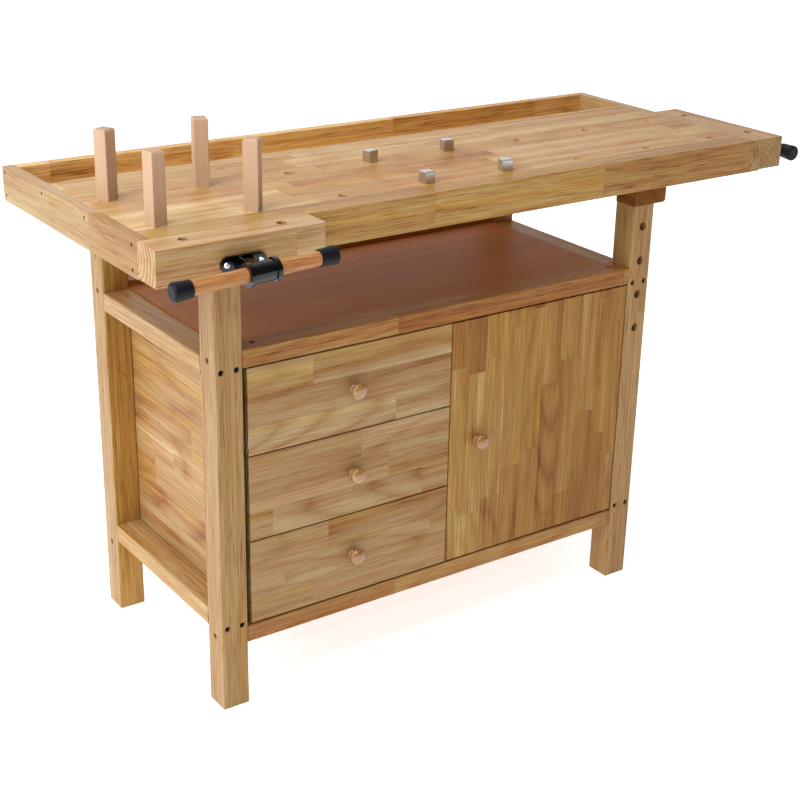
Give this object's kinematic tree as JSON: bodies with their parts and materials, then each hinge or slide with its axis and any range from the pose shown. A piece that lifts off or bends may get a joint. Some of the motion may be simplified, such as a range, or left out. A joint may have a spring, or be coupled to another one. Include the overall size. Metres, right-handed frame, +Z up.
{
  "type": "workbench with drawers",
  "caption": "Joiner's workbench with a tool tray, front and tail screw vises, bench dogs, sliding drawers and a cupboard with a hinged door.",
  "frame": {"origin": "centre of the whole bench's bounding box, on the floor", "axes": "+X along the top towards the tail vise, +Y from the front vise to the tool tray at the back, +Z up"},
  "size_m": [1.4044, 0.637, 0.961],
  "materials": {
    "top_wood": "edge-glued pale hardwood, satin lacquer",
    "tray_wood": "golden hardwood board, satin lacquer",
    "frame_wood": "pale hardwood, satin lacquer",
    "panel_wood": "edge-glued pale hardwood, satin lacquer",
    "ply": "brown plywood, matte",
    "box_wood": "pale hardwood, unfinished",
    "front_wood": "edge-glued hardwood staves, satin lacquer",
    "knob_wood": "turned hardwood, gloss lacquer",
    "dark_screw": "blackened steel",
    "bright_steel": "turned steel",
    "black_steel": "gloss black paint",
    "handle_wood": "orange-brown turned hardwood, gloss",
    "cap_rubber": "near-black rubber, satin",
    "post_wood": "pale beech, unfinished",
    "dog_metal": "nickel-plated steel, satin"
  },
  "bodies": {
    "bench": {"worktop_slab": "top_wood", "front_edge": "top_wood", "tray_front_rail": "top_wood", "tray_back_board": "top_wood", "left_end_board": "top_wood", "right_end_board": "top_wood", "tray_floor": "tray_wood", "front_left_leg": "frame_wood", "front_right_leg": "frame_wood", "back_left_leg": "frame_wood", "back_right_leg": "frame_wood", "side_rails": "frame_wood", "upper_front_rail": "frame_wood", "lower_front_rail": "frame_wood", "back_rails": "frame_wood", "leg_bearers": "frame_wood", "left_side_panel": "panel_wood", "right_side_panel": "panel_wood", "divider": "panel_wood", "shelf_panel": "ply", "back_panel": "ply", "cabinet_bottom": "ply", "drawer_runners": "box_wood", "end_board_screws": "dark_screw", "frame_bolts": "dark_screw", "door_pivots": "bright_steel", "vise_nuts": "bright_steel"},
    "drawer_1": {"drawer_1_front": "front_wood", "drawer_1_box": "box_wood", "drawer_1_knob": "knob_wood"},
    "drawer_2": {"drawer_2_front": "front_wood", "drawer_2_box": "box_wood", "drawer_2_knob": "knob_wood"},
    "drawer_3": {"drawer_3_front": "front_wood", "drawer_3_box": "box_wood", "drawer_3_knob": "knob_wood"},
    "door": {"door_panel": "front_wood", "door_knob": "knob_wood"},
    "front_jaw": {"front_vise_jaw": "top_wood", "front_vise_plate": "black_steel", "front_vise_guides": "bright_steel"},
    "front_screw": {"front_vise_screw": "bright_steel", "front_vise_hub": "black_steel"},
    "front_handle": {"front_vise_handle": "handle_wood", "front_vise_caps": "cap_rubber"},
    "tail_jaw": {"tail_vise_jaw": "top_wood", "tail_vise_plate": "black_steel", "tail_vise_guides": "bright_steel"},
    "tail_screw": {"tail_vise_screw": "bright_steel", "tail_vise_hub": "black_steel"},
    "tail_handle": {"tail_vise_handle": "handle_wood", "tail_vise_caps": "cap_rubber"},
    "post_1": {"post_1": "post_wood"},
    "dog_1": {"dog_1": "dog_metal"},
    "post_2": {"post_2": "post_wood"},
    "dog_2": {"dog_2": "dog_metal"},
    "post_3": {"post_3": "post_wood"},
    "dog_3": {"dog_3": "dog_metal"},
    "post_4": {"post_4": "post_wood"},
    "dog_4": {"dog_4": "dog_metal"}
  },
  "joints": [
    {"name": "drawer_1_slide", "type": "slide", "parent": "bench", "child": "drawer_1", "axis": [0, -1, 0], "range_m": [0, 0.3]},
    {"name": "drawer_2_slide", "type": "slide", "parent": "bench", "child": "drawer_2", "axis": [0, -1, 0], "range_m": [0, 0.3]},
    {"name": "drawer_3_slide", "type": "slide", "parent": "bench", "child": "drawer_3", "axis": [0, -1, 0], "range_m": [0, 0.3]},
    {"name": "door_hinge", "type": "hinge", "parent": "bench", "child": "door", "pos_m": [0.27767, -0.153, 0.37875], "axis": [0, 0, 1], "range_deg": [0, 110]},
    {"name": "front_jaw_slide", "type": "slide", "parent": "bench", "child": "front_jaw", "axis": [0, -1, 0], "range_m": [0, 0.12]},
    {"name": "front_screw_turn", "type": "hinge", "parent": "front_jaw", "child": "front_screw", "pos_m": [-0.55883, -0.1885, 0.812], "axis": [0, -1, 0], "range_deg": [0, 7200]},
    {"name": "front_handle_slide", "type": "slide", "parent": "front_screw", "child": "front_handle", "axis": [0.9988, 0, 0.0488], "range_m": [-0.069, 0.087]},
    {"name": "tail_jaw_slide", "type": "slide", "parent": "bench", "child": "tail_jaw", "axis": [1, 0, 0], "range_m": [0, 0.12]},
    {"name": "tail_screw_turn", "type": "hinge", "parent": "tail_jaw", "child": "tail_screw", "pos_m": [0.57217, -0.0465, 0.812], "axis": [1, 0, 0], "range_deg": [0, 7200]},
    {"name": "tail_handle_slide", "type": "slide", "parent": "tail_screw", "child": "tail_handle", "axis": [0, 0.999, 0.0436], "range_m": [-0.086, 0.07]},
    {"name": "post_1_lift", "type": "slide", "parent": "bench", "child": "post_1", "axis": [0, 0, 1], "range_m": [0, 0.06]},
    {"name": "dog_1_lift", "type": "slide", "parent": "bench", "child": "dog_1", "axis": [0, 0, 1], "range_m": [0, 0.06]},
    {"name": "post_2_lift", "type": "slide", "parent": "bench", "child": "post_2", "axis": [0, 0, 1], "range_m": [0, 0.06]},
    {"name": "dog_2_lift", "type": "slide", "parent": "bench", "child": "dog_2", "axis": [0, 0, 1], "range_m": [0, 0.06]},
    {"name": "post_3_lift", "type": "slide", "parent": "bench", "child": "post_3", "axis": [0, 0, 1], "range_m": [0, 0.06]},
    {"name": "dog_3_lift", "type": "slide", "parent": "bench", "child": "dog_3", "axis": [0, 0, 1], "range_m": [0, 0.06]},
    {"name": "post_4_lift", "type": "slide", "parent": "bench", "child": "post_4", "axis": [0, 0, 1], "range_m": [0, 0.06]},
    {"name": "dog_4_lift", "type": "slide", "parent": "bench", "child": "dog_4", "axis": [0, 0, 1], "range_m": [0, 0.06]}
  ],
  "couplings": [
    {"joint": "front_jaw_slide", "follows": "front_screw_turn", "m_per_rad": 0.00095493},
    {"joint": "tail_jaw_slide", "follows": "tail_screw_turn", "m_per_rad": 0.00095493}
  ]
}
